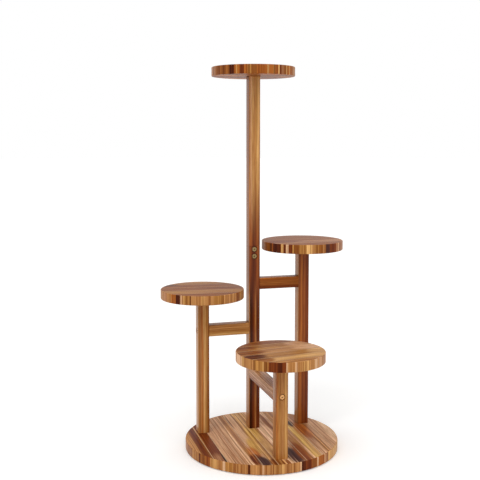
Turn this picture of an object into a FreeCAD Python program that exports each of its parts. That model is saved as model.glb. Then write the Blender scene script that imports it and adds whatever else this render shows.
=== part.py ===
import FreeCAD, Part
import math
import os

# Tiered wooden plant stand. A round base panel carries four square posts of
# different heights, and each post carries one round shelf. Double-ended studs
# hold every post between its two panels. The tall post is made of two lengths
# joined by a bolted half lap. A square rung ties each of the three short posts
# to it: the rung's inner end is a stub tenon in the tall post, and its outer
# end is pulled against the short post by a bolt.
#
# Millimetres, +Z up. The origin is on the floor under the centre of the base.
# +X is to the right, -Y is towards the front.

# ---- driving dimensions -------------------------------------------------
BASE_DIAMETER = 400.0
SHELF_DIAMETER = 220.0
PANEL_THICKNESS = 24.0
PANEL_EASE = 1.5            # bevel round the top rim of every panel

POST_SIDE = 30.0            # posts and rungs share one square section
POST_EASE = 1.5             # bevel along the edges of that section

PAD_SIDE = 25.0
PAD_THICKNESS = 2.0
PAD_CIRCLE = 150.0          # radius of the circle that the outer pads lie on

POST_ROW_Y = 78.0           # left, tall and right posts stand in one row
SIDE_REACH = 140.0          # tall post to left or right post, centre to centre
FRONT_REACH = 232.0         # tall post to front post, centre to centre

FRONT_TIER = 268.0          # top of the front shelf above the base's top face
TIER_STEP = 120.0           # front shelf to left shelf to right shelf
TOP_TIER = 970.0            # top of the highest shelf above the base's top face
RUNG_DROP = 112.0           # shelf top down to the middle of its rung

LAP_MIDDLE = 480.0          # middle of the half lap above the base's top face
LAP_LENGTH = 38.0
LAP_BOLT_GAP = 19.0         # between the two bolts of the half lap

TENON_SIDE = 16.0
TENON_LENGTH = 12.0
MORTISE_DEPTH = 12.5
MORTISE_SIDE = 16.2

# ---- hardware -----------------------------------------------------------
BOLT_DIAMETER = 6.0
BOLT_HOLE = 6.6
BOLT_HEAD = 12.5
BOLT_HEAD_HEIGHT = 3.5
HEAD_POCKET = 15.5
HEAD_POCKET_DEPTH = 4.5     # the head sits 1 mm inside the post's face
HEX_KEY = 4.0
HEX_DEPTH = 2.2
RUNG_BOLT_LENGTH = 40.0     # under the head
LAP_BOLT_LENGTH = 20.0

INSERT_DIAMETER = 9.0       # threaded insert in the wood
INSERT_LENGTH = 12.0
INSERT_BORE = 6.1
INSERT_HOLE = 9.1
RUNG_INSERT_DEPTH = 16.0    # these holes leave room for the bolts' ends
LAP_INSERT_DEPTH = 13.0

STUD_DIAMETER = 8.0
STUD_HOLE = 8.1
STUD_IN_PANEL = 15.0
STUD_IN_POST = 25.0
STUD_ROOM = 1.0             # left open past each end of the stud

# ---- levels and places --------------------------------------------------
HALF_POST = POST_SIDE / 2
DECK_Z = PAD_THICKNESS + PANEL_THICKNESS
LAP_LOW_Z = DECK_Z + LAP_MIDDLE - LAP_LENGTH / 2
LAP_HIGH_Z = LAP_LOW_Z + LAP_LENGTH
TOP_SHELF_Z = DECK_Z + TOP_TIER
TALL_POST_TOP = TOP_SHELF_Z - PANEL_THICKNESS

UP = FreeCAD.Vector(0, 0, 1)
BACK = FreeCAD.Vector(0, 1, 0)
TALL = FreeCAD.Vector(0, POST_ROW_Y, 0)
LAP_BOLTS = [TALL + UP * (DECK_Z + LAP_MIDDLE + side * LAP_BOLT_GAP / 2)
             for side in (1, -1)]


class ShortTier:
    """A short post with its shelf and the rung that ties it to the tall
    post. outward points from the tall post to this one."""

    def __init__(self, name, outward, reach, step):
        self.name = name
        self.outward = outward
        self.inward = -outward
        self.place = TALL + outward * reach
        self.shelf_top = DECK_Z + FRONT_TIER + step * TIER_STEP
        self.post_top = self.shelf_top - PANEL_THICKNESS
        rung_level = UP * (self.shelf_top - RUNG_DROP)
        self.bolt_place = self.place + rung_level
        self.rung_start = TALL + rung_level + outward * HALF_POST
        self.rung_end = self.bolt_place - outward * HALF_POST


SHORT_TIERS = [
    ShortTier("front", FreeCAD.Vector(0, -1, 0), FRONT_REACH, 0),
    ShortTier("left", FreeCAD.Vector(-1, 0, 0), SIDE_REACH, 1),
    ShortTier("right", FreeCAD.Vector(1, 0, 0), SIDE_REACH, 2),
]


# ---- shapes that repeat -------------------------------------------------
def placed(shape, start, direction):
    """Move a shape drawn up the Z axis so that Z follows direction."""
    shape.Placement = FreeCAD.Placement(start, FreeCAD.Rotation(UP, direction))
    return shape


def cylinder(diameter, length, start, direction):
    return Part.makeCylinder(diameter / 2, length, start, direction)


def prism(outline, length, start, direction):
    """Straight extrusion of a flat outline of (x, y) corners."""
    points = [FreeCAD.Vector(x, y, 0) for x, y in outline]
    section = Part.Face(Part.makePolygon(points + [points[0]]))
    return placed(section.extrude(UP * length), start, direction)


def square(side):
    half = side / 2
    return [(-half, -half), (half, -half), (half, half), (-half, half)]


def eased_square():
    """The section of posts and rungs: a square with its corners bevelled."""
    flat = HALF_POST - POST_EASE
    corners = []
    for x_side, y_side in ((1, 1), (-1, 1), (-1, -1), (1, -1)):
        pair = [(x_side * HALF_POST, y_side * flat), (x_side * flat, y_side * HALF_POST)]
        corners += pair if x_side == y_side else pair[::-1]
    return corners


def hexagon(across_flats):
    radius = across_flats / math.sqrt(3)
    turns = [math.radians(60 * corner) for corner in range(6)]
    return [(radius * math.cos(turn), radius * math.sin(turn)) for turn in turns]


# ---- panels -------------------------------------------------------------
def round_panel(diameter, top_middle):
    """Disc with its top rim bevelled."""
    radius = diameter / 2
    profile = [(0, -PANEL_THICKNESS), (radius, -PANEL_THICKNESS),
               (radius, -PANEL_EASE), (radius - PANEL_EASE, 0), (0, 0)]
    points = [FreeCAD.Vector(across, 0, level) for across, level in profile]
    half_section = Part.Face(Part.makePolygon(points + [points[0]]))
    panel = half_section.revolve(FreeCAD.Vector(), UP, 360)
    panel.translate(top_middle)
    return panel


def panel_stud_hole(face_middle, inwards):
    return cylinder(STUD_HOLE, STUD_IN_PANEL + STUD_ROOM, face_middle, inwards)


def make_base_panel():
    holes = [panel_stud_hole(place + UP * DECK_Z, -UP) for place in post_places()]
    return round_panel(BASE_DIAMETER, UP * DECK_Z).cut(Part.Compound(holes))


def make_shelf(place, top):
    hole = panel_stud_hole(place + UP * (top - PANEL_THICKNESS), UP)
    return round_panel(SHELF_DIAMETER, place + UP * top).cut(hole)


def make_pads():
    """One thin square pad in the middle of the base and four round it."""
    spots = [FreeCAD.Vector()]
    for quarter in range(4):
        angle = math.radians(45 + 90 * quarter)
        spots.append(FreeCAD.Vector(math.cos(angle), math.sin(angle), 0) * PAD_CIRCLE)
    return [prism(square(PAD_SIDE), PAD_THICKNESS, spot, UP) for spot in spots]


# ---- posts and rungs ----------------------------------------------------
def post_places():
    return [tier.place for tier in SHORT_TIERS] + [TALL]


def square_bar(start, direction, length):
    """Post or rung stock; start is the middle of one end."""
    return prism(eased_square(), length, start, direction)


def bolt_passage(middle, direction):
    """Hole through a post for a bolt that goes in along direction, with a
    pocket for its head."""
    mouth = middle - direction * HALF_POST
    hole = cylinder(BOLT_HOLE, POST_SIDE, mouth, direction)
    return hole.fuse(cylinder(HEAD_POCKET, HEAD_POCKET_DEPTH, mouth, direction))


def post_stud_hole(end_middle, inwards):
    return cylinder(STUD_HOLE, STUD_IN_POST + STUD_ROOM, end_middle, inwards)


def make_short_post(tier):
    foot = tier.place + UP * DECK_Z
    post = square_bar(foot, UP, tier.post_top - DECK_Z)
    cuts = [
        post_stud_hole(foot, UP),
        post_stud_hole(tier.place + UP * tier.post_top, -UP),
        bolt_passage(tier.bolt_place, tier.inward),
    ]
    return post.cut(Part.Compound(cuts))


def lap_waste(side):
    """What is sawn off on one side of the tall post to leave a half lap."""
    middle = TALL + UP * LAP_LOW_Z + side * POST_SIDE
    return prism(square(2 * POST_SIDE), LAP_LENGTH, middle, UP)


def make_tall_post_lower():
    """The lower length keeps the front half of the lap, and takes the
    tenons of the three rungs."""
    foot = TALL + UP * DECK_Z
    post = square_bar(foot, UP, LAP_HIGH_Z - DECK_Z)
    cuts = [post_stud_hole(foot, UP), lap_waste(BACK)]
    for tier in SHORT_TIERS:
        mortise = prism(square(MORTISE_SIDE), MORTISE_DEPTH, tier.rung_start, tier.inward)
        cuts.append(mortise)
    cuts += [bolt_passage(middle, BACK) for middle in LAP_BOLTS]
    return post.cut(Part.Compound(cuts))


def make_tall_post_upper():
    """The upper length keeps the back half of the lap, with the inserts."""
    post = square_bar(TALL + UP * LAP_LOW_Z, UP, TALL_POST_TOP - LAP_LOW_Z)
    cuts = [post_stud_hole(TALL + UP * TALL_POST_TOP, -UP), lap_waste(-BACK)]
    for middle in LAP_BOLTS:
        cuts.append(cylinder(INSERT_HOLE, LAP_INSERT_DEPTH, middle, BACK))
    return post.cut(Part.Compound(cuts))


def make_rung(tier):
    length = (tier.rung_end - tier.rung_start).Length
    bar = square_bar(tier.rung_start, tier.outward, length)
    tenon = prism(square(TENON_SIDE), TENON_LENGTH, tier.rung_start, tier.inward)
    hole = cylinder(INSERT_HOLE, RUNG_INSERT_DEPTH, tier.rung_end, tier.inward)
    return bar.fuse(tenon).cut(hole)


# ---- bolts, inserts and studs -------------------------------------------
def hex_bolt(length, middle, direction):
    """Bolt in the head pocket of a post, with a low round head and a hexagon
    socket. middle is on the post's axis."""
    seat = middle - direction * (HALF_POST - HEAD_POCKET_DEPTH)
    top = seat - direction * BOLT_HEAD_HEIGHT
    head = cylinder(BOLT_HEAD, BOLT_HEAD_HEIGHT, top, direction)
    shank = cylinder(BOLT_DIAMETER, length, seat, direction)
    socket = prism(hexagon(HEX_KEY), HEX_DEPTH, top, direction)
    return head.fuse(shank).cut(socket)


def threaded_insert(mouth, direction):
    outside = cylinder(INSERT_DIAMETER, INSERT_LENGTH, mouth, direction)
    return outside.cut(cylinder(INSERT_BORE, INSERT_LENGTH, mouth, direction))


def make_inserts():
    """One in the outer end of every rung, two in the lap's back half."""
    inserts = [threaded_insert(tier.rung_end, tier.inward) for tier in SHORT_TIERS]
    return inserts + [threaded_insert(middle, BACK) for middle in LAP_BOLTS]


def stud(panel_face, into_post):
    """Double-ended stud: one end in a panel, the other in a post."""
    start = panel_face - into_post * STUD_IN_PANEL
    return cylinder(STUD_DIAMETER, STUD_IN_PANEL + STUD_IN_POST, start, into_post)


def make_studs():
    """One at the foot and one at the top of every post."""
    studs = [stud(place + UP * DECK_Z, UP) for place in post_places()]
    for tier in SHORT_TIERS:
        studs.append(stud(tier.place + UP * tier.post_top, -UP))
    return studs + [stud(TALL + UP * TALL_POST_TOP, -UP)]


# ---- the whole stand ----------------------------------------------------
def build_nodes():
    nodes = {
        "base_panel": [make_base_panel()],
        "foot_pads": make_pads(),
        "tall_post_lower": [make_tall_post_lower()],
        "tall_post_upper": [make_tall_post_upper()],
        "top_shelf": [make_shelf(TALL, TOP_SHELF_Z)],
    }
    for tier in SHORT_TIERS:
        nodes[tier.name + "_post"] = [make_short_post(tier)]
        nodes[tier.name + "_rung"] = [make_rung(tier)]
        nodes[tier.name + "_shelf"] = [make_shelf(tier.place, tier.shelf_top)]
    nodes["rung_bolts"] = [hex_bolt(RUNG_BOLT_LENGTH, tier.bolt_place, tier.inward)
                           for tier in SHORT_TIERS]
    nodes["lap_bolts"] = [hex_bolt(LAP_BOLT_LENGTH, middle, BACK) for middle in LAP_BOLTS]
    nodes["threaded_inserts"] = make_inserts()
    nodes["post_studs"] = make_studs()
    return nodes


def main():
    os.makedirs("parts", exist_ok=True)
    for name, solids in build_nodes().items():
        shape = solids[0] if len(solids) == 1 else Part.Compound(solids)
        if not shape.isValid():
            raise RuntimeError(name + " is not a valid shape")
        shape.exportStep("parts/" + name + ".step")
        print(name, len(shape.Solids), "solids", round(shape.Volume / 1000, 1), "cm3")


main()
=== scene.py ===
import bpy
import bmesh
import math
from collections import namedtuple
from mathutils import Matrix, Vector


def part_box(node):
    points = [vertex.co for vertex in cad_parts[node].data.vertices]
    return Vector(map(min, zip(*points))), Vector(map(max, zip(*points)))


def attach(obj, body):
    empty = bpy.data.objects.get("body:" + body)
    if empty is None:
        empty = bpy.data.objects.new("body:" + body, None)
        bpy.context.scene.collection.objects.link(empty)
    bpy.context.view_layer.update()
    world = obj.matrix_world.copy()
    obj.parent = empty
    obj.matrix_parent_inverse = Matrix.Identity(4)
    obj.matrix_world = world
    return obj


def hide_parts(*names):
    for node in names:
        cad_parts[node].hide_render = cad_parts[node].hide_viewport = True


# The looks of a tiered wooden plant stand: striped, lacquered wood on every
# panel, post and rung, and plated bolts in their pockets. Metres, +Z up.

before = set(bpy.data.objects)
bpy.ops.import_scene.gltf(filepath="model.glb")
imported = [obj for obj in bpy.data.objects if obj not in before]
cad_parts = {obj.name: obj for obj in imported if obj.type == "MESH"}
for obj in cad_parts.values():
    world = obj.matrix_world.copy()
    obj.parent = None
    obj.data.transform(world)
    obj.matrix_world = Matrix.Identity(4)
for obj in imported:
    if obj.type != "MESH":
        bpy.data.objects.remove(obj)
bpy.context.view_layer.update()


def middle(node):
    low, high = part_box(node)
    return (low + high) / 2


def at_level(centre, level):
    return Vector((centre.x, centre.y, level))


# ---- driving values -------------------------------------------------------
CAMERA_PLACE = (-0.6505, -2.0514, 0.8136)
CAMERA_YAW = 16.09            # degrees to the right of +Y
CAMERA_PITCH = 5.07           # degrees down
CAMERA_LENS = 62.77           # mm
CAMERA_SENSOR = 36.0          # mm
CAMERA_SHIFT_Y = -0.06
CAMERA_REACH = 100.0

RIM_ROUND = 0.0018            # rounded rims of the panels
EDGE_ROUND = 0.0018           # rounded long edges of posts and rungs
END_EASE = 0.0007             # hairline left round the ends of posts and rungs
RIM_STEPS = 192               # segments round a panel
TURN_STEPS = 48               # segments round a bolt, a hole or a pocket
ARC_STEPS = 5                 # segments in a quarter round
SHARP_DEGREES = 35            # edges that turn by more than this stay sharp
PANEL_SHARP_DEGREES = 60
CUT_OVER = 0.001              # how far a cutter starts outside the wood
LAP_OVER = 0.01               # how far the lap's cutter passes an open end

POCKET_RADIUS = 0.00775
POCKET_DEPTH = 0.0045
BOLT_HOLE_RADIUS = 0.0033
BOLT_RADIUS = 0.003
BOLT_EASE = 0.0006            # bevel at the tip of a bolt
RUNG_BOLT_LENGTH = 0.040
LAP_BOLT_LENGTH = 0.020
HEAD_RADIUS = 0.00625
HEAD_HEIGHT = 0.0035
HEAD_ROUND = 0.0009
HEX_KEY = 0.004
HEX_DEPTH = 0.0022
HEX_CONE = 0.25               # depth of the cone at the socket's floor, as a share
TENON_SIDE = 0.016
TENON_LENGTH = 0.012
MORTISE_SIDE = 0.0162
MORTISE_DEPTH = 0.0125
INSERT_HOLE_RADIUS = 0.00455
RUNG_INSERT_DEPTH = 0.016
LAP_INSERT_DEPTH = 0.013

X_AXIS = Vector((1, 0, 0))
Y_AXIS = Vector((0, 1, 0))
Z_AXIS = Vector((0, 0, 1))

# ---- values from the frame ----------------------------------------------------
SHORT_POSTS = {"front": -Y_AXIS, "left": -X_AXIS, "right": X_AXIS}
POST_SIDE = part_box("front_post")[1].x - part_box("front_post")[0].x
HALF_POST = POST_SIDE / 2
TALL_MIDDLE = middle("tall_post_lower")
LAP_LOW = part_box("tall_post_upper")[0].z
LAP_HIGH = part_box("tall_post_lower")[1].z


# ---- colours ----------------------------------------------------------------
def linear(code):
    """Scene colour of an sRGB code such as "b07e48"."""
    parts = [int(code[i:i + 2], 16) / 255 for i in (0, 2, 4)]
    spread = [p / 12.92 if p <= 0.04045 else ((p + 0.055) / 1.055) ** 2.4 for p in parts]
    return (*spread, 1.0)


TINTS = {
    "cream": "dcb086",
    "straw": "cc9a5c",
    "sand": "d8a87e",
    "tan": "b8814a",
    "honey": "ac763a",
    "orange": "aa6226",
    "rose": "aa744c",
    "amber": "c87a3a",
    "gold": "dcae62",
    "brown": "8e5220",
    "rust": "96501e",
    "chestnut": "783812",
    "umber": "582408",
    "plum": "4e2c24",
    "black": "300f04",
}


def tint(name):
    return linear(TINTS[name])


# ---- node graphs ------------------------------------------------------------
class Graph:
    """A material's nodes, with short names for what is used often."""

    def __init__(self, name):
        self.material = bpy.data.materials.new(name)
        self.material.use_nodes = True
        self.tree = self.material.node_tree
        self.tree.nodes.clear()

    def add(self, kind, **settings):
        node = self.tree.nodes.new(kind)
        for key, value in settings.items():
            setattr(node, key, value)
        return node

    def feed(self, socket, value):
        if isinstance(value, bpy.types.NodeSocket):
            self.tree.links.new(value, socket)
        else:
            socket.default_value = value

    def maths(self, operation, *values):
        node = self.add("ShaderNodeMath", operation=operation)
        for socket, value in zip(node.inputs, values):
            self.feed(socket, value)
        return node.outputs[0]

    def plus(self, first, second):
        return self.maths("ADD", first, second)

    def minus(self, first, second):
        return self.maths("SUBTRACT", first, second)

    def times(self, first, second):
        return self.maths("MULTIPLY", first, second)

    def scaled(self, value, factor, offset):
        """value * factor + offset."""
        return self.maths("MULTIPLY_ADD", value, factor, offset)

    def vector(self, *parts):
        node = self.add("ShaderNodeCombineXYZ")
        for socket, value in zip(node.inputs, parts):
            self.feed(socket, value)
        return node.outputs[0]

    def noise(self, place, scales, detail=2.0, roughness=0.5):
        """Noise of 0 to 1 at a place. Each of its axes has its own scale, in
        waves per metre."""
        scaled = [axis if scale == 1 else self.times(axis, scale)
                  for axis, scale in zip(place, scales)]
        node = self.add("ShaderNodeTexNoise")
        self.feed(node.inputs["Vector"], self.vector(*scaled))
        self.feed(node.inputs["Scale"], 1.0)
        self.feed(node.inputs["Detail"], detail)
        self.feed(node.inputs["Roughness"], roughness)
        return node.outputs["Fac"]

    def spread(self, value, low, high):
        """value from low..high to 0..1, smoothly."""
        node = self.add("ShaderNodeMapRange", interpolation_type="SMOOTHSTEP")
        for name, number in (("Value", value), ("From Min", low), ("From Max", high)):
            self.feed(node.inputs[name], number)
        return node.outputs["Result"]

    def mix(self, share, first, second, blend="MIX"):
        node = self.add("ShaderNodeMix", data_type="RGBA", blend_type=blend)
        self.feed(node.inputs["Factor"], share)
        self.feed(node.inputs["A"], first)
        self.feed(node.inputs["B"], second)
        return node.outputs["Result"]

    def ramp(self, value, stops, interpolation="LINEAR"):
        """stops lists (position, colour), in order."""
        node = self.add("ShaderNodeValToRGB")
        elements = node.color_ramp.elements
        node.color_ramp.interpolation = interpolation
        while len(elements) < len(stops):
            elements.new(1.0)
        for element, (position, colour) in zip(elements, stops):
            element.position = position
            element.color = colour
        self.feed(node.inputs["Fac"], value)
        return node.outputs["Color"]

    def place(self):
        """x, y and z of the shaded point in the part's frame."""
        coordinates = self.add("ShaderNodeTexCoord")
        split = self.add("ShaderNodeSeparateXYZ")
        self.feed(split.inputs[0], coordinates.outputs["Object"])
        return split.outputs

    def finish(self, colour, roughness, height, bump_depth, **settings):
        bump = self.add("ShaderNodeBump")
        self.feed(bump.inputs["Strength"], 1.0)
        self.feed(bump.inputs["Distance"], bump_depth)
        self.feed(bump.inputs["Height"], height)
        shader = self.add("ShaderNodeBsdfPrincipled")
        self.feed(shader.inputs["Base Color"], colour)
        self.feed(shader.inputs["Roughness"], roughness)
        self.feed(shader.inputs["Normal"], bump.outputs["Normal"])
        for name, value in settings.items():
            self.feed(shader.inputs[name.replace("_", " ")], value)
        output = self.add("ShaderNodeOutputMaterial")
        self.feed(output.inputs["Surface"], shader.outputs[0])
        return self.material


# ---- wood -------------------------------------------------------------------
# mirror is the level of the lacquer's reflections.
Wood = namedtuple("Wood", "strip_width contrast least_roughness bump mirror")
FACE_WOOD = Wood(strip_width=0.0042, contrast=0.95, least_roughness=0.34, bump=0.00018, mirror=0.06)
RIM_WOOD = Wood(strip_width=0.003, contrast=0.9, least_roughness=0.3, bump=0.00022, mirror=0.08)
POST_WOOD = Wood(strip_width=0.0026, contrast=0.6, least_roughness=0.17, bump=0.00018, mirror=0.15)
RUNG_WOOD = Wood(strip_width=0.0026, contrast=0.7, least_roughness=0.2, bump=0.00018, mirror=0.06)

# The grain's lines: their sway, how far the strips swell and shift, and the
# noises behind them. A place in the wood is (across, into, along).
GRAIN_SWAY = 0.006
GRAIN_SWAY_SCALES = (25, 15, 4)
STRIP_SWELL = 4               # strip widths from one swelling to the next
STRIP_SHIFT = 6               # strip widths that a swelling moves them
STRIP_SWELL_DEPTH_SCALE = 30
STRIP_SCALES = (17.3, 12, 3.5)
RING_WIDTH = 0.0032
RING_STRETCH = 120            # length of a ring line over its width
FIBRE_WIDTH = 0.0007
FIBRE_STRETCH = 60
LAYER_DEPTH = 0.3             # how fast rings and fibres change into the wood
LAYER_ROUGHNESS = 0.6

LIGHT_LINE = (0.32, 0.38, 0.46, 1.0)
DARK_LINE = linear("c4a890")
THIN_LINE = linear("946a48")
FLECK = linear("e0d2c4")
SHEEN_SPREAD = 0.14           # roughness that the fibres add
FIBRE_HEIGHT = 0.6            # shares of the bumps
RING_HEIGHT = 0.4

SEAM_WIDTH = 0.0008           # glue line between two staves
GLEAM_WIDTH = 0.0018          # pale line beside it
SEAM_COLOUR = linear("4a2410")
GLEAM_COLOUR = linear("e8c49a")
SEAM_SHARE = 0.7
GLEAM_SHARE = 0.5
SEAM_DEPTH = 1.5              # over the depth of the grain's bumps
SAME_STAVE = 0.001
STAVE_ALONG = 7.0             # how far apart the staves' grains are taken
STAVE_DEPTH = 3.0

PATCH_EDGE = (1.4, 0.4)       # where a patch starts and is full, 1 being its outline
PATCH_STRIPS = (0.85, 0.6)    # noise of the strips that break a patch, and that don't
PANEL_DRIFT = 0.006           # how far the bands of a panel wander, each way
PANEL_DRIFT_SCALES = (20, 1, 5)
RIM_GRAIN_RISE = 0.3          # how fast a rim's grain changes on the way up
BAR_DRIFT_SCALES = {"post": (30, 1, 4.5), "rung": (30, 1, 6)}
BAR_DRIFT = {"post": 0.1, "rung": 0.15}     # as a share of the bar's side
SIDE_SHARE = 0.6              # length of the bands on a bar's side


def grain(g, across, depth, along, strip_width):
    """Grain that runs along the wood, as three values of 0..1: strips with
    crisp edges, soft rings and fibres. All lengths are in metres."""
    sway = g.noise((across, depth, along), GRAIN_SWAY_SCALES)
    swayed = g.scaled(sway, GRAIN_SWAY, across)
    swell_scales = (1 / (STRIP_SWELL * strip_width), STRIP_SWELL_DEPTH_SCALE, 1)
    swelling = g.noise((swayed, depth, 0.0), swell_scales)
    spot = g.scaled(swelling, STRIP_SHIFT * strip_width, swayed)
    strip_number = g.maths("FLOOR", g.times(spot, 1 / strip_width))
    strip = g.noise((strip_number, depth, along), STRIP_SCALES, 1.0)

    def layer(width, stretch, detail):
        scales = (1 / width, LAYER_DEPTH / width, 1 / (width * stretch))
        return g.noise((swayed, depth, along), scales, detail, LAYER_ROUGHNESS)

    return strip, layer(RING_WIDTH, RING_STRETCH, 2.0), layer(FIBRE_WIDTH, FIBRE_STRETCH, 1.0)


def lacquered(g, colour, lines, wood):
    """Lines the colour with the grain and gives it its satin lacquer. Returns
    its colour, roughness and height."""
    strip, ring, fibre = lines
    lighter = g.mix(1.0, colour, LIGHT_LINE, "DODGE")
    darker = g.mix(1.0, colour, DARK_LINE, "MULTIPLY")
    darkest = g.mix(1.0, colour, THIN_LINE, "MULTIPLY")
    # Each kind of line: where in its noise it starts and is full, and its strength.
    kinds = ((strip, 0.52, 0.68, 1.0, lighter), (strip, 0.46, 0.36, 0.8, darker),
             (ring, 0.5, 0.36, 0.6, darker), (ring, 0.37, 0.31, 0.7, darkest))
    for noise, start, full, strength, shade in kinds:
        share = g.times(g.spread(noise, start, full), strength * wood.contrast)
        colour = g.mix(share, colour, shade)
    flecked = g.mix(1.0, colour, FLECK, "MULTIPLY")
    colour = g.mix(g.spread(fibre, 0.56, 0.36), colour, flecked)
    roughness = g.scaled(fibre, SHEEN_SPREAD, wood.least_roughness)
    height = g.plus(g.times(fibre, FIBRE_HEIGHT), g.times(ring, RING_HEIGHT))
    return colour, roughness, height


def glue_joints(g, across, radius, joints):
    """A number for each stave, 1 on the thin glue line between two, and 1 on
    the pale line beside it. joints lists where the glue lines are, in
    millimetres from the middle."""
    stops = [(0.0, (0.0, 0.0, 0.0, 1.0))]
    for number, place in enumerate(joints):
        grey = (number + 1) / len(joints)
        stops.append(((place / 1000 + radius) / (2 * radius), (grey, grey, grey, 1.0)))

    def stave_at(offset):
        share = g.scaled(across, 1 / (2 * radius), 0.5 + offset / (2 * radius))
        return g.ramp(share, stops, "CONSTANT")

    def line_beside(offset):
        return g.minus(1.0, g.maths("COMPARE", stave, stave_at(offset), SAME_STAVE))

    stave = stave_at(0.0)
    return stave, line_beside(SEAM_WIDTH), line_beside(-GLEAM_WIDTH)


def oval(g, x, y, centre_x, centre_y, half_x, half_y):
    """1 inside an oval, falling softly to 0 round it. In millimetres."""
    from_x = g.scaled(x, 1000 / half_x, -centre_x / half_x)
    from_y = g.scaled(y, 1000 / half_y, -centre_y / half_y)
    reach = g.plus(g.maths("POWER", from_x, 2), g.maths("POWER", from_y, 2))
    return g.spread(reach, *PATCH_EDGE)


def panel_place(g, centre):
    """x and y from the panel's middle, and z from the floor."""
    x, y, z = g.place()
    return g.minus(x, centre.x), g.minus(y, centre.y), z


def panel_face_material(name, centre, radius, panel):
    """Top and underside of a glued panel."""
    g = Graph(name)
    x, y, z = panel_place(g, centre)
    seed = panel.face_seed
    sine, cosine = math.sin(math.radians(panel.turn)), math.cos(math.radians(panel.turn))
    across = g.plus(g.times(x, cosine), g.times(y, -sine))
    along = g.plus(g.times(x, sine), g.times(y, cosine))
    drift = g.noise((across, seed, along), PANEL_DRIFT_SCALES, 1.0)
    drifted = g.scaled(drift, 2 * PANEL_DRIFT, g.minus(across, PANEL_DRIFT))
    stops = [((start / 1000 + radius) / (2 * radius), tint(band)) for start, band in panel.bands]
    colour = g.ramp(g.scaled(drifted, 1 / (2 * radius), 0.5), stops, "CONSTANT")
    stave, seam, gleam = glue_joints(g, across, radius, panel.joints)
    own_along = g.scaled(stave, STAVE_ALONG, along)
    own_depth = g.plus(g.scaled(stave, STAVE_DEPTH, z), seed)
    lines = grain(g, across, own_depth, own_along, FACE_WOOD.strip_width)
    ragged = g.spread(lines[0], *PATCH_STRIPS)
    for *shape, patch_tint in panel.patches:
        share = g.times(oval(g, across, along, *shape), ragged)
        colour = g.mix(share, colour, tint(patch_tint))
    colour, roughness, height = lacquered(g, colour, lines, FACE_WOOD)
    colour = g.mix(g.times(gleam, GLEAM_SHARE), colour, GLEAM_COLOUR)
    colour = g.mix(g.times(seam, SEAM_SHARE), colour, SEAM_COLOUR)
    height = g.minus(height, g.times(seam, SEAM_DEPTH))
    return g.finish(colour, roughness, height, FACE_WOOD.bump, Specular_IOR_Level=FACE_WOOD.mirror)


def panel_rim_material(name, centre, panel):
    """Upright stripes round the rim. The back half mirrors the front half, as
    the staves run right through."""
    g = Graph(name)
    x, y, z = panel_place(g, centre)
    reach = g.maths("SQRT", g.plus(g.maths("POWER", x, 2), g.maths("POWER", y, 2)))
    folded = g.maths("ARCSINE", g.maths("DIVIDE", x, reach))
    stops = [((degrees + 90) / 180, tint(band)) for degrees, band in panel.rim]
    colour = g.ramp(g.scaled(folded, 1 / math.pi, 0.5), stops, "CONSTANT")
    arc = g.times(g.maths("ARCTAN2", x, g.times(y, -1.0)), reach)
    lines = grain(g, arc, panel.rim_seed, g.times(z, RIM_GRAIN_RISE), RIM_WOOD.strip_width)
    colour, roughness, height = lacquered(g, colour, lines, RIM_WOOD)
    return g.finish(colour, roughness, height, RIM_WOOD.bump, Specular_IOR_Level=RIM_WOOD.mirror)


def bar_share(g, value, middle_value, factor):
    """0 at the low side of a square bar and factor at its high side."""
    return g.scaled(value, factor / POST_SIDE, factor * (0.5 - middle_value / POST_SIDE))


def band_place(g, front, depth, along, seed, kind):
    """Place round a bar that its bands are listed by: 0 to 1 across its front
    and -SIDE_SHARE to 0 round its side. front and depth are (value, middle)."""
    drift = g.noise((front[0], seed, along), BAR_DRIFT_SCALES[kind], 1.0)
    round_bar = g.plus(bar_share(g, *front, 1), bar_share(g, *depth, -SIDE_SHARE))
    return g.plus(round_bar, g.scaled(drift, 2 * BAR_DRIFT[kind], -BAR_DRIFT[kind]))


def banded_bar(g, place, bands):
    """Bands of a square bar's wood. bands lists (place, tint)."""
    whole = 1 + SIDE_SHARE
    stops = [((start + SIDE_SHARE) / whole, tint(band)) for start, band in bands]
    return g.ramp(g.scaled(place, 1 / whole, SIDE_SHARE / whole), stops)


def bar_finish(g, colour, front, depth, along, seed, wood):
    """Lacquered wood of a square bar, with the grain along it."""
    lines = grain(g, g.scaled(depth[0], -SIDE_SHARE, front[0]), seed, along, wood.strip_width)
    colour, roughness, height = lacquered(g, colour, lines, wood)
    return g.finish(colour, roughness, height, wood.bump, Specular_IOR_Level=wood.mirror)


def post_material(name, centre, post):
    """A post's wood, with the grain upright. Where it has upper bands, its
    lower ones turn into them between the two levels of change."""
    g = Graph(name)
    x, y, z = g.place()
    front, depth = (x, centre.x), (y, centre.y)
    place = band_place(g, front, depth, z, post.seed, "post")
    colour = banded_bar(g, place, post.bands)
    if post.change:
        colour = g.mix(g.spread(z, *post.change), colour, banded_bar(g, place, post.upper_bands))
    return bar_finish(g, colour, front, depth, z, post.seed, POST_WOOD)


def rung_material(name, centre, outward, rung):
    """A rung's wood, with the grain along it. Its bands go up its side."""
    g = Graph(name)
    x, y, z = g.place()
    front, depth, along = (z, centre.z), (x, centre.x), y
    if abs(outward.x) > abs(outward.y):
        depth, along = (y, centre.y), x
    place = band_place(g, front, depth, along, rung.seed, "rung")
    colour = banded_bar(g, place, rung.bands)
    return bar_finish(g, colour, front, depth, along, rung.seed, RUNG_WOOD)


# ---- metal and foam ---------------------------------------------------------
PLATING_SCALE = 900
PLATING_SPREAD = 0.2          # between its smoothest and roughest spots
PLATING_BUMP = 0.00003
FOAM_SCALE = 1500
FOAM_BUMP = 0.0002
MATT = 0.9                    # roughness of the foam and the floor


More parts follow.
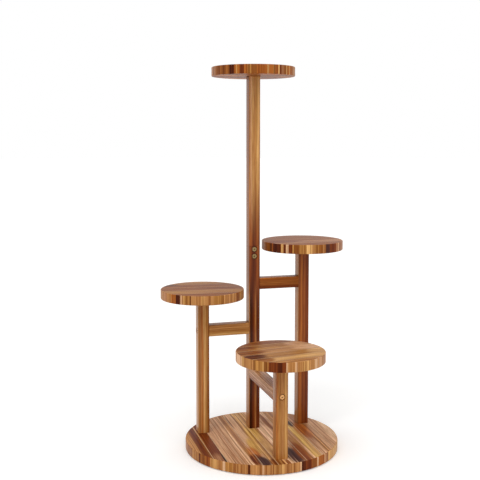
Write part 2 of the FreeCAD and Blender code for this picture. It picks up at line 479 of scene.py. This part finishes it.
def plated_material(name, code, roughness):
    g = Graph(name)
    cloud = g.noise(g.place(), [PLATING_SCALE] * 3, 3.0)
    dull = g.mix(1.0, linear(code), linear("b8a890"), "MULTIPLY")
    colour = g.mix(g.spread(cloud, 0.4, 0.65), linear(code), dull)
    rough = g.scaled(cloud, PLATING_SPREAD, roughness - PLATING_SPREAD / 2)
    return g.finish(colour, rough, cloud, PLATING_BUMP, Metallic=1.0)


def foam_material(name):
    g = Graph(name)
    cells = g.noise(g.place(), [FOAM_SCALE] * 3)
    colour = g.mix(cells, linear("1c1b1a"), linear("3a3836"))
    return g.finish(colour, MATT, cells, FOAM_BUMP)


# ---- meshes -----------------------------------------------------------------
def new_object(name, bm, materials=()):
    """Object of the scene with the shape in bm."""
    mesh = bpy.data.meshes.new(name)
    bm.to_mesh(mesh)
    bm.free()
    for material in materials:
        mesh.materials.append(material)
    piece = bpy.data.objects.new(name, mesh)
    bpy.context.scene.collection.objects.link(piece)
    return piece


def quarter_round(centre_x, centre_y, size, start_degrees, end_degrees):
    """Points of a rounded corner, from one tangent to the next."""
    points = []
    for step in range(ARC_STEPS + 1):
        angle = math.radians(start_degrees + (end_degrees - start_degrees) * step / ARC_STEPS)
        points.append((centre_x + size * math.cos(angle), centre_y + size * math.sin(angle)))
    return points


def lathe(bm, profile, steps, matrix):
    """Adds a turned shape whose profile of (radius, level) starts and ends on
    the axis. Returns the rings of faces, one list per stretch of profile."""
    turns = [2 * math.pi * step / steps for step in range(steps)]
    rings = []
    for radius, level in profile:
        ring = [(radius * math.cos(turn), radius * math.sin(turn), level) for turn in turns]
        if radius == 0:
            ring = [(0, 0, level)]
        rings.append([bm.verts.new(matrix @ Vector(point)) for point in ring])
    strips = []
    for lower, upper in zip(rings, rings[1:]):
        faces = []
        for step in range(steps):
            after = (step + 1) % steps
            corners = [lower[step % len(lower)], lower[after % len(lower)],
                       upper[after % len(upper)], upper[step % len(upper)]]
            faces.append(bm.faces.new(list(dict.fromkeys(corners))))
        strips.append(faces)
    bmesh.ops.recalc_face_normals(bm, faces=bm.faces)
    return strips


def along_axis(start, direction):
    """Matrix that stands a shape drawn up the Z axis on start."""
    turn = Z_AXIS.rotation_difference(direction).to_matrix().to_4x4()
    return Matrix.Translation(start) @ turn


def turned_object(name, profile, steps, start, direction, materials=()):
    bm = bmesh.new()
    lathe(bm, profile, steps, along_axis(start, direction))
    return new_object(name, bm, materials)


def round_panel(node, face_material, rim_material):
    """Disc with rounded rims; its rim has a material of its own."""
    low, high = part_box(node)
    thickness = high.z - low.z
    inner = (high.x - low.x) / 2 - RIM_ROUND
    profile = [(0, 0), (inner / 2, 0)]
    profile += quarter_round(inner, RIM_ROUND, RIM_ROUND, -90, 0)
    profile += quarter_round(inner, thickness - RIM_ROUND, RIM_ROUND, 0, 90)
    profile += [(inner / 2, thickness), (0, thickness)]
    bm = bmesh.new()
    strips = lathe(bm, profile, RIM_STEPS, Matrix.Translation(at_level(middle(node), low.z)))
    for faces in strips[2:-2]:          # without the two flat stretches of either face
        for face in faces:
            face.material_index = 1
    return new_object(node + "_look", bm, [face_material, rim_material])


def rounded_bar(name, start, direction, length, material):
    """Square bar with rounded long edges; start is the middle of one end."""
    flat = HALF_POST - EDGE_ROUND
    outline = []
    for corner, (x_side, y_side) in enumerate(((1, 1), (-1, 1), (-1, -1), (1, -1))):
        outline += quarter_round(x_side * flat, y_side * flat, EDGE_ROUND, 90 * corner,
                                 90 * corner + 90)
    matrix = along_axis(start, direction)
    eased = 1 - END_EASE / HALF_POST
    bm = bmesh.new()
    levels = [(0, eased), (END_EASE, 1), (length - END_EASE, 1), (length, eased)]
    rings = [[bm.verts.new(matrix @ Vector((x * share, y * share, level))) for x, y in outline]
             for level, share in levels]
    count = len(outline)
    for lower, upper in zip(rings, rings[1:]):
        for step in range(count):
            after = (step + 1) % count
            bm.faces.new([lower[step], lower[after], upper[after], upper[step]])
    bm.faces.new(rings[0][::-1])
    bm.faces.new(rings[-1])
    return new_object(name, bm, [material])


def cylinder_tool(radius, start, direction, length):
    profile = [(0, 0), (radius, 0), (radius, length), (0, length)]
    return turned_object("tool", profile, TURN_STEPS, start, direction)


def hexagon_tool(across_flats, start, direction, length, material):
    radius = across_flats / math.sqrt(3)
    profile = [(0, 0), (radius, 0), (radius, length), (0, length * (1 + HEX_CONE))]
    return turned_object("tool", profile, 6, start, direction, [material])


def box_tool(side, start, direction, length):
    """Square bar; start is the middle of one end."""
    bm = bmesh.new()
    bmesh.ops.create_cube(bm, size=1.0)
    for vertex in bm.verts:
        x, y, z = vertex.co
        vertex.co = Vector((x * side, y * side, (z + 0.5) * length))
    bm.transform(along_axis(start, direction))
    return new_object("tool", bm)


def combine(piece, tools, operation="DIFFERENCE"):
    """Cuts the tools out of the piece, or joins them to it, for good."""
    for tool in tools:
        step = piece.modifiers.new("step", "BOOLEAN")
        step.operation = operation
        step.solver = "EXACT"
        if tool.data.materials:
            step.material_mode = "TRANSFER"
        step.object = tool
    bpy.context.view_layer.update()
    made = piece.evaluated_get(bpy.context.evaluated_depsgraph_get())
    mesh = bpy.data.meshes.new_from_object(made)
    piece.modifiers.clear()
    old = piece.data
    piece.data = mesh
    bpy.data.meshes.remove(old)
    mesh.name = piece.name
    for tool in tools:
        bpy.data.meshes.remove(tool.data)
    return piece


def join(name, pieces):
    """One object from several, in the part's frame."""
    bm = bmesh.new()
    for piece in pieces:
        bm.from_mesh(piece.data)
    joined = new_object(name, bm, pieces[0].data.materials)
    for piece in pieces:
        bpy.data.meshes.remove(piece.data)
    return joined


def dress(piece, node, sharp_degrees=SHARP_DEGREES):
    """The piece stands for a node of the model and takes its place."""
    for face in piece.data.polygons:
        face.use_smooth = True
    piece.data.set_sharp_from_angle(angle=math.radians(sharp_degrees))
    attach(piece, "root")
    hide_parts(node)


# ---- posts and rungs --------------------------------------------------------
def bolt_passage(centre, direction):
    """Tools for the pocket of a bolt's head and the hole for its shank."""
    outside = centre - direction * (HALF_POST + CUT_OVER)
    return [cylinder_tool(POCKET_RADIUS, outside, direction, POCKET_DEPTH + CUT_OVER),
            cylinder_tool(BOLT_HOLE_RADIUS, outside, direction, POST_SIDE + 2 * CUT_OVER)]


def bolt_place(tier):
    return at_level(middle(tier + "_post"), middle(tier + "_rung").z)


def rung_foot(tier):
    """Where a rung meets the tall post."""
    return at_level(TALL_MIDDLE, middle(tier + "_rung").z) + SHORT_POSTS[tier] * HALF_POST


def make_short_post(tier, material):
    node = tier + "_post"
    low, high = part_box(node)
    post = rounded_bar(node + "_look", at_level(middle(node), low.z), Z_AXIS, high.z - low.z,
                       material)
    combine(post, bolt_passage(bolt_place(tier), -SHORT_POSTS[tier]))
    dress(post, node)


def make_rung(tier, material):
    node = tier + "_rung"
    outward = SHORT_POSTS[tier]
    low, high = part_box(node)
    start = rung_foot(tier)
    length = max(high.x - low.x, high.y - low.y) - TENON_LENGTH
    rung = rounded_bar(node + "_look", start, outward, length, material)
    tenon = box_tool(TENON_SIDE, start + outward * CUT_OVER, -outward, TENON_LENGTH + CUT_OVER)
    combine(rung, [tenon], "UNION")
    end = start + outward * (length + CUT_OVER)
    hole = cylinder_tool(INSERT_HOLE_RADIUS, end, -outward, RUNG_INSERT_DEPTH + CUT_OVER)
    combine(rung, [hole])
    dress(rung, node)


def lap_waste(side):
    """Tool for what is sawn off one side of the tall post at the half lap."""
    start = at_level(TALL_MIDDLE, LAP_LOW) + side * POST_SIDE
    below = LAP_OVER if side.y < 0 else 0.0
    above = LAP_OVER if side.y > 0 else 0.0
    return box_tool(2 * POST_SIDE, start - Z_AXIS * below, Z_AXIS,
                    LAP_HIGH - LAP_LOW + below + above)


def lap_bolt_places():
    low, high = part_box("lap_bolts")
    return [at_level(TALL_MIDDLE, level) for level in (high.z - HEAD_RADIUS, low.z + HEAD_RADIUS)]


def tall_post_length(node, bottom, top, material, tools):
    length = rounded_bar(node + "_look", at_level(TALL_MIDDLE, bottom), Z_AXIS, top - bottom,
                         material)
    combine(length, tools)
    dress(length, node)


def make_tall_post(lower_material, upper_material):
    lower_tools = [lap_waste(Y_AXIS)]
    for tier, outward in SHORT_POSTS.items():
        mouth = rung_foot(tier) + outward * CUT_OVER
        lower_tools.append(box_tool(MORTISE_SIDE, mouth, -outward, MORTISE_DEPTH + CUT_OVER))
    for place in lap_bolt_places():
        lower_tools += bolt_passage(place, Y_AXIS)
    tall_post_length("tall_post_lower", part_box("tall_post_lower")[0].z, LAP_HIGH, lower_material,
                     lower_tools)

    upper_tools = [lap_waste(-Y_AXIS)]
    for place in lap_bolt_places():
        upper_tools.append(cylinder_tool(INSERT_HOLE_RADIUS, place - Y_AXIS * CUT_OVER, Y_AXIS,
                                         LAP_INSERT_DEPTH + CUT_OVER))
    tall_post_length("tall_post_upper", LAP_LOW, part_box("tall_post_upper")[1].z, upper_material,
                     upper_tools)


# ---- bolts ------------------------------------------------------------------
def make_bolt(centre, direction, length, material, socket_material):
    """Low-headed bolt with a rounded head and a hexagon socket."""
    top = centre - direction * (HALF_POST - POCKET_DEPTH + HEAD_HEIGHT)
    tip = HEAD_HEIGHT + length
    profile = [(0, 0)] + quarter_round(HEAD_RADIUS - HEAD_ROUND, HEAD_ROUND, HEAD_ROUND, -90, 0)
    profile += [(HEAD_RADIUS, HEAD_HEIGHT), (BOLT_RADIUS, HEAD_HEIGHT),
                (BOLT_RADIUS, tip - BOLT_EASE), (BOLT_RADIUS - BOLT_EASE, tip), (0, tip)]
    bolt = turned_object("bolt", profile, TURN_STEPS, top, direction, [material, socket_material])
    socket = hexagon_tool(HEX_KEY, top - direction * CUT_OVER, direction, HEX_DEPTH + CUT_OVER,
                          socket_material)
    return combine(bolt, [socket])


def make_bolts():
    # The rung bolts' warm gold is painted reflection: all the bolts share one zinc plating, and
    # this tint stands in for the wood's warm reflection in it.
    reflection_tinted_zinc = plated_material("zinc_with_painted_wood_reflection", "ecb47a", 0.36)
    dull = plated_material("dull_zinc", "a48c64", 0.4)
    # The dark socket zinc is painted shade: the lap bolts' hex sockets are the same plating, and
    # this darker tint stands in for the shade inside those recesses.
    socket = plated_material("socket_zinc_painted_shade", "5c4830", 0.5)
    rung_bolts = [make_bolt(bolt_place(tier), -outward, RUNG_BOLT_LENGTH, reflection_tinted_zinc, dull)
                  for tier, outward in SHORT_POSTS.items()]
    dress(join("rung_bolts_look", rung_bolts), "rung_bolts")
    lap_bolts = [make_bolt(place, Y_AXIS, LAP_BOLT_LENGTH, dull, socket)
                 for place in lap_bolt_places()]
    dress(join("lap_bolts_look", lap_bolts), "lap_bolts")


# ---- the stand's woods --------------------------------------------------------
# Each panel: turn is the angle in degrees from +Y to its staves' direction.
# bands lists (start, tint) and joints the glue lines between its staves, both
# in millimetres across the staves from the panel's middle. patches lists
# (across, along, half width, half length, tint). rim lists (start, tint),
# where start is in degrees round the rim from its front, positive to the
# right. The seeds choose the grain of its faces and of its rim.
Panel = namedtuple("Panel", "turn face_seed rim_seed bands joints patches rim")
PANELS = {
    "base_panel": Panel(
        turn=0, face_seed=0.6, rim_seed=0.9,
        bands=[(-200, "tan"), (-181, "brown"), (-177, "chestnut"), (-167, "brown"), (-162, "tan"),
               (-159, "chestnut"), (-134, "sand"), (-116, "cream"), (-108, "sand"), (-86, "cream"),
               (-74, "tan"), (-60, "sand"), (-44, "cream"), (-34, "straw"), (4, "sand"),
               (12, "cream"), (20, "sand"), (57, "tan"), (78, "sand"), (85, "gold"),
               (97, "straw"), (107, "sand"), (128, "tan"), (140, "sand"), (176, "cream")],
        joints=[-162, -134, -98, -57, -20, 22, 56, 107, 152],
        patches=[(-147, -165, 18, 80, "rose"), (-134, -118, 3, 34, "black"),
                 (-66, 0, 7, 75, "rose"), (-54, 125, 2.5, 50, "brown"),
                 (-16, 25, 20, 60, "gold"), (-40, -65, 13, 60, "gold"),
                 (-54, -115, 14, 50, "amber"), (-58, -152, 17, 38, "chestnut"),
                 (-46, -170, 15, 34, "plum"), (-24, -182, 9, 26, "brown"),
                 (46, 100, 9, 75, "brown"), (38, -150, 20, 58, "plum"),
                 (62, -135, 15, 74, "rust"), (-14, -190, 4, 30, "brown"),
                 (-2, -190, 3, 26, "chestnut"), (10, -192, 5, 24, "brown"),
                 # The amber patch at (122, 12), beside the right post, is painted light: its tint
                 # is lifted to offset the shade that the post and shelves cast on the base there.
                 (105, 72, 8, 28, "plum"), (122, 12, 19, 62, "amber")],
        rim=[(-90, "rose"), (-79, "tan"), (-69.5, "umber"), (-68, "brown"), (-61, "rust"),
             (-57, "tan"), (-55, "straw"), (-51, "tan"), (-46, "cream"), (-44, "honey"),
             (-38, "tan"), (-26.8, "umber"), (-25.4, "tan"), (-17, "cream"), (-15.8, "tan"),
             (-9, "straw"), (-7, "honey"), (-5, "straw"), (-1.5, "tan"), (10, "cream"),
             (11.5, "umber"), (15, "chestnut"), (21, "brown"), (25.5, "cream"), (27, "orange"),
             (34, "cream"), (35.5, "rose"), (39, "straw"), (66, "sand")]),
    "front_shelf": Panel(
        turn=82, face_seed=3.1, rim_seed=3.1,
        bands=[(-110, "brown"), (-72, "honey"), (-30, "tan"), (8, "honey"), (46, "straw"),
               (80, "tan")],
        joints=[-72, -30, 8, 46, 80],
        # The brown and umber patches at the left end darken it partly for a darker stripe of the
        # wood and partly as painted shadow of leaves.
        patches=[(-51, -75, 22, 34, "brown"), (-11, -80, 19, 44, "brown"),
                 (27, -84, 19, 34, "umber"), (62, -75, 17, 30, "brown"),
                 (-51, 70, 22, 34, "sand"), (-11, 88, 20, 52, "sand"), (27, 96, 19, 40, "straw")],
        rim=[(-90, "sand"), (-76, "straw"), (-69, "tan"), (-54, "honey"), (-42, "straw"),
             (-40, "honey"), (-34, "chestnut"), (-22.5, "umber"), (-17, "chestnut"),
             (-12.5, "cream"), (-10, "tan"), (-1, "cream"), (1.5, "tan"), (8, "straw"),
             (19, "tan"), (28, "cream"), (34, "tan"), (36, "sand"), (44, "tan"), (51, "brown"),
             (54, "sand")]),
    "left_shelf": Panel(
        turn=96, face_seed=5.7, rim_seed=5.7,
        bands=[(-110, "honey"), (-66, "brown"), (-24, "brown"), (20, "honey"), (64, "brown")],
        joints=[-66, -24, 20, 64],
        patches=[(-60, -95, 14, 40, "umber")],
        rim=[(-90, "tan"), (-80, "rose"), (-70, "tan"), (-60, "orange"), (-52, "umber"),
             (-44.5, "cream"), (-42, "tan"), (-40, "straw"), (-38, "honey"), (-30.5, "umber"),
             (-29, "tan"), (-15, "straw"), (-11, "tan"), (2, "honey"), (16, "tan"),
             (38, "brown"), (46, "honey"), (70, "tan")]),
    "right_shelf": Panel(
        turn=88, face_seed=8.3, rim_seed=8.3,
        bands=[(-110, "brown"), (-70, "brown"), (-26, "brown"), (14, "rose"), (58, "brown")],
        joints=[-70, -26, 14, 58],
        patches=[(20, -70, 18, 60, "chestnut")],
        rim=[(-90, "rose"), (-84, "brown"), (-70, "black"), (-68, "rust"), (-65, "umber"),
             (-52, "brown"), (-50, "straw"), (-47, "chestnut"), (-43, "cream"),
             (-40, "chestnut"), (-34, "honey"), (-31, "brown"), (-25, "honey"), (-15, "straw"),
             (-7, "tan"), (-3, "honey"), (3, "brown"), (9, "tan"), (12, "brown"), (14, "plum"),
             (21, "chestnut"), (34, "rose"), (40, "cream"), (42, "rose")]),
    "top_shelf": Panel(
        turn=85, face_seed=11.9, rim_seed=11.9,
        bands=[(-110, "orange"), (-64, "chestnut"), (-18, "orange"), (24, "brown"),
               (70, "orange")],
        joints=[-64, -18, 24, 70],
        patches=[(10, 20, 16, 60, "umber")],
        rim=[(-90, "rose"), (-79, "brown"), (-50, "umber"), (-43, "orange"), (-40.5, "straw"),
             (-39, "orange"), (-35, "chestnut"), (-29, "orange"), (-25, "honey"),
             (-20, "brown"), (-12, "orange"), (2, "straw"), (4, "orange"), (10, "honey"),
             (13, "orange"), (18, "straw"), (20, "chestnut"), (23, "rose"), (28, "brown"),
             (33, "straw"), (35, "orange"), (40, "straw"), (42, "orange"), (48, "tan"),
             (60, "brown")]),
}

# Bands round each post and rung: from -SIDE_SHARE at the back of a post's left
# side or a rung's underside, through 0 at the near edge of its front, to 1 at
# the far edge of its front, which is a post's right or a rung's upper edge.
# The tall post's bands change between two levels on the way up.
Post = namedtuple("Post", "seed bands upper_bands change", defaults=(None, None))
# The rose and sand tints that start the bands of the three short posts and of the tall post's lower
# length, on their left sides, are painted sheen over the wood's own tone: they stand in for the
# lacquer's reflection of the white surroundings on those sides.
POSTS = {
    "front_post": Post(
        seed=2.3,
        bands=[(-0.6, "rose"), (-0.2, "tan"), (0.0, "orange"), (0.25, "honey"), (0.55, "tan"),
               (0.68, "honey"), (0.8, "straw"), (1.0, "honey")]),
    "left_post": Post(
        seed=4.9,
        bands=[(-0.6, "sand"), (-0.15, "tan"), (0.0, "honey"), (0.2, "tan"), (0.36, "orange"),
               (0.5, "straw"), (0.62, "straw"), (0.74, "honey"), (1.0, "brown")]),
    "right_post": Post(
        seed=6.1,
        bands=[(-0.6, "rose"), (-0.1, "tan"), (0.04, "brown"), (0.14, "rust"), (0.32, "orange"),
               (0.44, "chestnut"), (0.55, "rust"), (0.7, "chestnut"), (1.0, "chestnut")]),
    "tall_post_lower": Post(
        seed=9.4,
        bands=[(-0.6, "rose"), (0.0, "tan"), (0.07, "brown"), (0.12, "black"), (0.36, "umber"),
               (0.48, "chestnut"), (0.57, "brown"), (0.63, "tan"), (0.7, "chestnut"),
               (0.8, "umber"), (0.9, "chestnut"), (1.0, "umber")],
        upper_bands=[(-0.6, "brown"), (-0.04, "brown"), (0.08, "rust"), (0.2, "chestnut"),
                     (0.4, "umber"), (0.6, "chestnut"), (0.8, "rust"), (1.0, "chestnut")],
        change=(0.36, 0.46)),
    "tall_post_upper": Post(
        seed=12.7,
        bands=[(-0.6, "brown"), (-0.1, "brown"), (0.05, "rust"), (0.18, "rust"),
               (0.28, "chestnut"), (0.42, "umber"), (0.6, "chestnut"), (0.76, "rust"),
               (1.0, "chestnut")],
        upper_bands=[(-0.6, "brown"), (-0.1, "brown"), (0.06, "tan"), (0.15, "sand"),
                     (0.3, "straw"), (0.45, "tan"), (0.6, "honey"), (0.8, "straw"),
                     (1.0, "tan")],
        change=(0.52, 0.74)),
}
Rung = namedtuple("Rung", "seed bands")
RUNGS = {
    "front": Rung(
        seed=1.7,
        bands=[(-0.6, "brown"), (0.0, "brown"), (0.3, "rose"), (0.6, "sand"), (0.8, "tan"),
               (1.0, "sand")]),
    "left": Rung(
        seed=3.9,
        bands=[(-0.6, "brown"), (0.0, "honey"), (0.18, "straw"), (0.32, "honey"), (0.6, "tan"),
               (1.0, "tan")]),
    "right": Rung(
        seed=7.7,
        bands=[(-0.6, "chestnut"), (0.0, "chestnut"), (0.5, "brown"), (1.0, "orange")]),
}


def make_panels():
    for node, panel in PANELS.items():
        centre = middle(node)
        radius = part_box(node)[1].x - centre.x
        face = panel_face_material(node + "_face_wood", centre, radius, panel)
        rim = panel_rim_material(node + "_rim_wood", centre, panel)
        dress(round_panel(node, face, rim), node, PANEL_SHARP_DEGREES)


def make_posts_and_rungs():
    woods = {node: post_material(node + "_wood", middle(node), post)
             for node, post in POSTS.items()}
    for tier, outward in SHORT_POSTS.items():
        make_short_post(tier, woods[tier + "_post"])
        rung_wood = rung_material(tier + "_rung_wood", middle(tier + "_rung"), outward, RUNGS[tier])
        make_rung(tier, rung_wood)
    make_tall_post(woods["tall_post_lower"], woods["tall_post_upper"])


def finish_hidden_nodes():
    """Inserts, studs and pads keep their own meshes."""
    for node, material in (("threaded_inserts", plated_material("insert_brass", "c8a04e", 0.35)),
                           ("post_studs", plated_material("stud_zinc", "b8ae96", 0.35)),
                           ("foot_pads", foam_material("pad_foam"))):
        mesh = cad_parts[node].data
        mesh.materials.clear()
        mesh.materials.append(material)


# ---- floor, light and camera ------------------------------------------------
FLOOR_RADIUS = 30.0
FLOOR_STEPS = 96
FLOOR_SCALES = (3, 3, 1)
FLOOR_BUMP = 0.0001
FLOOR_LIFT = 0.18             # whitens the floor to the eye, and lights nothing
WORLD_SEEN = 1.0              # strength to the eye and in reflections
WORLD_LIGHT = 0.62            # strength as a light
# Each sun: where its light comes from, its width in degrees and its strength.
SUNS = {
    "key": ((-0.5, -0.55, 0.85), 40, 1.1),
    "fill": ((0.6, -0.7, 0.6), 70, 0.6),
}


def seen_ray(tree):
    """1 for rays to the camera, direct, reflected or through glass."""
    path = tree.nodes.new("ShaderNodeLightPath")
    seen = path.outputs["Is Camera Ray"]
    for name in ("Is Glossy Ray", "Is Transmission Ray"):
        either = tree.nodes.new("ShaderNodeMath")
        either.operation = "MAXIMUM"
        tree.links.new(seen, either.inputs[0])
        tree.links.new(path.outputs[name], either.inputs[1])
        seen = either.outputs[0]
    return seen


def make_floor():
    g = Graph("pale_floor")
    cloud = g.noise(g.place(), FLOOR_SCALES)
    colour = g.mix(cloud, linear("f8f8f7"), linear("fcfcfb"))
    lift = g.times(seen_ray(g.tree), FLOOR_LIFT)
    material = g.finish(colour, MATT, cloud, FLOOR_BUMP, Specular_IOR_Level=0.0,
                        Emission_Color=(1, 1, 1, 1), Emission_Strength=lift)
    bm = bmesh.new()
    bmesh.ops.create_circle(bm, cap_ends=True, segments=FLOOR_STEPS, radius=FLOOR_RADIUS)
    floor = new_object("floor", bm, [material])


def make_world():
    """White to the camera and in reflections, and softer as a light."""
    world = bpy.data.worlds.new("studio")
    bpy.context.scene.world = world
    world.use_nodes = True
    tree = world.node_tree
    tree.nodes.clear()
    strength = tree.nodes.new("ShaderNodeMapRange")
    strength.inputs["To Min"].default_value = WORLD_LIGHT
    strength.inputs["To Max"].default_value = WORLD_SEEN
    tree.links.new(seen_ray(tree), strength.inputs["Value"])
    background = tree.nodes.new("ShaderNodeBackground")
    background.inputs["Color"].default_value = (1, 1, 1, 1)
    tree.links.new(strength.outputs["Result"], background.inputs["Strength"])
    output = tree.nodes.new("ShaderNodeOutputWorld")
    tree.links.new(background.outputs[0], output.inputs["Surface"])


def make_suns():
    """Even light from two sides, with soft shadows."""
    for name, (from_direction, width_degrees, strength) in SUNS.items():
        lamp = bpy.data.lights.new(name, "SUN")
        lamp.angle = math.radians(width_degrees)
        lamp.energy = strength
        holder = bpy.data.objects.new(name, lamp)
        bpy.context.scene.collection.objects.link(holder)
        holder.rotation_euler = Vector(from_direction).to_track_quat("Z", "Y").to_euler()


def make_camera():
    data = bpy.data.cameras.new("camera")
    data.sensor_width = CAMERA_SENSOR
    data.lens = CAMERA_LENS
    data.shift_y = CAMERA_SHIFT_Y
    data.clip_end = CAMERA_REACH
    camera = bpy.data.objects.new("camera", data)
    bpy.context.scene.collection.objects.link(camera)
    camera.location = CAMERA_PLACE
    camera.rotation_euler = (math.radians(90 - CAMERA_PITCH), 0, math.radians(-CAMERA_YAW))
    bpy.context.scene.camera = camera


# ---- the scene ----------------------------------------------------------------
make_camera()
make_world()
make_floor()
make_suns()
make_panels()
make_posts_and_rungs()
make_bolts()
finish_hidden_nodes()
bpy.context.scene.view_settings.view_transform = "Standard"
